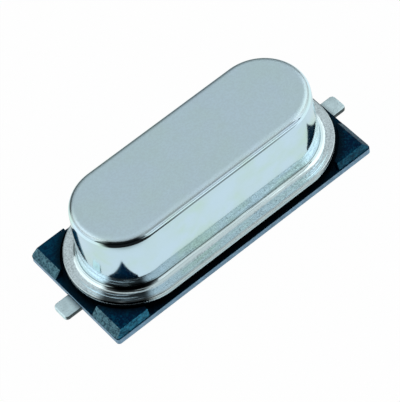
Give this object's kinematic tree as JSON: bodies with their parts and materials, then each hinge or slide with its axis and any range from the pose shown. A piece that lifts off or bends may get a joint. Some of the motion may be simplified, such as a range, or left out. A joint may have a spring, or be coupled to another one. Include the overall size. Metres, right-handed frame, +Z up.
{
  "type": "quartz crystal unit",
  "caption": "Low obround metal can on a black moulded plate with flat solder tabs, holding a quartz strip that sets the frequency of a clock circuit.",
  "frame": {"origin": "on the solder plane, under the middle of the can", "axes": "+X along the can from one solder tab to the other, +Y across the can, +Z up out of the board"},
  "size_m": [0.0128, 0.0048, 0.0036],
  "materials": {
    "can_nickel": "bright nickel plate, satin on the flat top",
    "header_steel": "nickel-plated stamped steel",
    "plate_moulding": "black heat-resistant moulding, fine mould texture",
    "lead_tin": "dull tin plate",
    "bead_glass": "dark sealing glass",
    "clip_spring": "nickel silver spring strip",
    "quartz": "lapped and etched quartz",
    "silver_film": "evaporated silver",
    "silver_adhesive": "cured silver-filled adhesive"
  },
  "bodies": {
    "root": {"cover_can": "can_nickel", "header_base": "header_steel", "insulator_plate": "plate_moulding", "lead_left": "lead_tin", "lead_right": "lead_tin", "glass_bead_left": "bead_glass", "glass_bead_right": "bead_glass", "crystal_clip_left": "clip_spring", "crystal_clip_right": "clip_spring", "quartz_blank": "quartz", "electrode_top": "silver_film", "electrode_bottom": "silver_film", "adhesive_dab_left": "silver_adhesive", "adhesive_dab_right": "silver_adhesive"}
  },
  "joints": []
}
